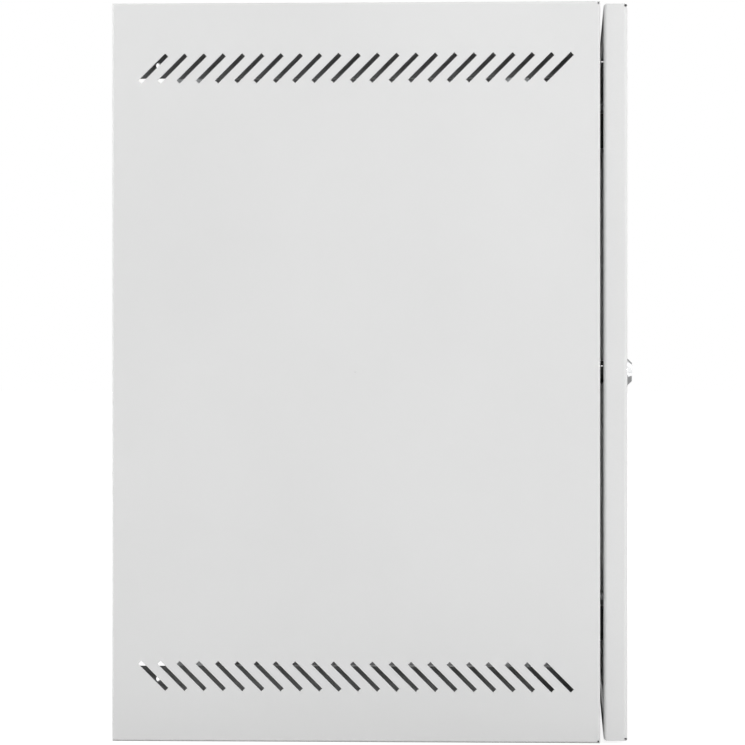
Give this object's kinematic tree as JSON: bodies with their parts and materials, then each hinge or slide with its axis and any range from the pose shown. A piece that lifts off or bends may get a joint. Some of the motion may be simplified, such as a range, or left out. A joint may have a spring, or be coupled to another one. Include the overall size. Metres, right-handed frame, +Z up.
{
  "type": "network rack cabinet",
  "caption": "Wall-mount steel rack cabinet with slanted side vents, sliding rack rails and a glazed front door on concealed sprung hinges.",
  "frame": {"origin": "centre of the bounding box's underside", "axes": "+Z up along the height, +Y out of the open back towards the wall, -Y out of the door"},
  "size_m": [0.6, 0.4472, 0.635],
  "materials": {
    "powder_coat": "fine-textured light grey powder coat",
    "grey_enamel": "thin mid-grey dip enamel",
    "zinc_plate": "satin zinc-plated steel",
    "bright_steel": "bright nickel-plated steel",
    "chrome_plate": "chrome-plated die casting",
    "black_die_cast": "black-painted zinc die casting",
    "black_rubber": "matt black sealing strip",
    "smoked_glass": "smoked tempered glass",
    "brass_plate": "brass-plated earth stud"
  },
  "bodies": {
    "cabinet": {"left_upper_depth_beam": "grey_enamel", "left_lower_depth_beam": "grey_enamel", "right_upper_depth_beam": "grey_enamel", "right_lower_depth_beam": "grey_enamel", "left_side_panel": "powder_coat", "right_side_panel": "powder_coat", "roof_panel": "powder_coat", "floor_panel": "powder_coat", "wall_bracket_upper_left": "powder_coat", "wall_bracket_upper_right": "powder_coat", "wall_bracket_lower_left": "powder_coat", "wall_bracket_lower_right": "powder_coat", "roof_cover_screw_left": "zinc_plate", "roof_cover_screw_right": "zinc_plate", "floor_cover_screw_left": "zinc_plate", "floor_cover_screw_right": "zinc_plate", "earth_stud": "brass_plate", "earth_nut": "brass_plate", "upper_hinge_arm": "black_die_cast", "upper_hinge_screw_high": "zinc_plate", "upper_hinge_screw_low": "zinc_plate", "lower_hinge_arm": "black_die_cast", "lower_hinge_screw_high": "zinc_plate", "lower_hinge_screw_low": "zinc_plate"},
    "front_left_rail_body": {"front_left_rail": "zinc_plate", "front_left_rail_bolt_upper": "bright_steel", "front_left_rail_bolt_lower": "bright_steel"},
    "front_right_rail_body": {"front_right_rail": "zinc_plate", "front_right_rail_bolt_upper": "bright_steel", "front_right_rail_bolt_lower": "bright_steel"},
    "rear_left_rail_body": {"rear_left_rail": "zinc_plate", "rear_left_rail_bolt_upper": "bright_steel", "rear_left_rail_bolt_lower": "bright_steel"},
    "rear_right_rail_body": {"rear_right_rail": "zinc_plate", "rear_right_rail_bolt_upper": "bright_steel", "rear_right_rail_bolt_lower": "bright_steel"},
    "roof_cover_body": {"roof_cable_cover": "powder_coat"},
    "floor_cover_body": {"floor_cable_cover": "powder_coat"},
    "door": {"door_frame": "powder_coat", "glass_gasket": "black_rubber", "door_glass": "smoked_glass", "glass_retainer_right": "zinc_plate", "glass_retainer_left": "zinc_plate", "glass_retainer_top": "zinc_plate", "glass_retainer_bottom": "zinc_plate", "upper_hinge_bracket": "zinc_plate", "lower_hinge_bracket": "zinc_plate", "upper_hinge_spring": "bright_steel", "lower_hinge_spring": "bright_steel", "lock_housing": "chrome_plate", "lock_nut": "zinc_plate"},
    "upper_pin_body": {"upper_hinge_pin": "bright_steel"},
    "lower_pin_body": {"lower_hinge_pin": "bright_steel"},
    "lock_cylinder_body": {"lock_plug": "chrome_plate", "lock_cam": "zinc_plate", "lock_cam_screw": "zinc_plate"}
  },
  "joints": [
    {"name": "door_hinge", "type": "hinge", "parent": "cabinet", "child": "door", "pos_m": [0.294, -0.2073, 0.3175], "axis": [0, 0, 1], "range_deg": [0, 120]},
    {"name": "lock_turn", "type": "hinge", "parent": "door", "child": "lock_cylinder_body", "pos_m": [-0.265, -0.21925, 0.3175], "axis": [0, 1, 0], "range_deg": [0, 90]},
    {"name": "upper_pin_lift", "type": "slide", "parent": "door", "child": "upper_pin_body", "axis": [0, 0, 1], "range_m": [0, 0.01], "stiffness_N_per_m": 300, "springref_m": -0.012, "deforming": ["upper_hinge_spring"]},
    {"name": "lower_pin_lift", "type": "slide", "parent": "door", "child": "lower_pin_body", "axis": [0, 0, 1], "range_m": [0, 0.01], "stiffness_N_per_m": 300, "springref_m": -0.012, "deforming": ["lower_hinge_spring"]},
    {"name": "front_left_rail_depth", "type": "slide", "parent": "cabinet", "child": "front_left_rail_body", "axis": [0, 1, 0], "range_m": [-0.03, 0.09]},
    {"name": "front_right_rail_depth", "type": "slide", "parent": "cabinet", "child": "front_right_rail_body", "axis": [0, 1, 0], "range_m": [-0.03, 0.09]},
    {"name": "rear_left_rail_depth", "type": "slide", "parent": "cabinet", "child": "rear_left_rail_body", "axis": [0, 1, 0], "range_m": [-0.09, 0.014]},
    {"name": "rear_right_rail_depth", "type": "slide", "parent": "cabinet", "child": "rear_right_rail_body", "axis": [0, 1, 0], "range_m": [-0.09, 0.014]},
    {"name": "roof_cover_slide", "type": "slide", "parent": "cabinet", "child": "roof_cover_body", "axis": [0, -1, 0], "range_m": [0, 0.055]},
    {"name": "floor_cover_slide", "type": "slide", "parent": "cabinet", "child": "floor_cover_body", "axis": [0, -1, 0], "range_m": [0, 0.055]}
  ]
}
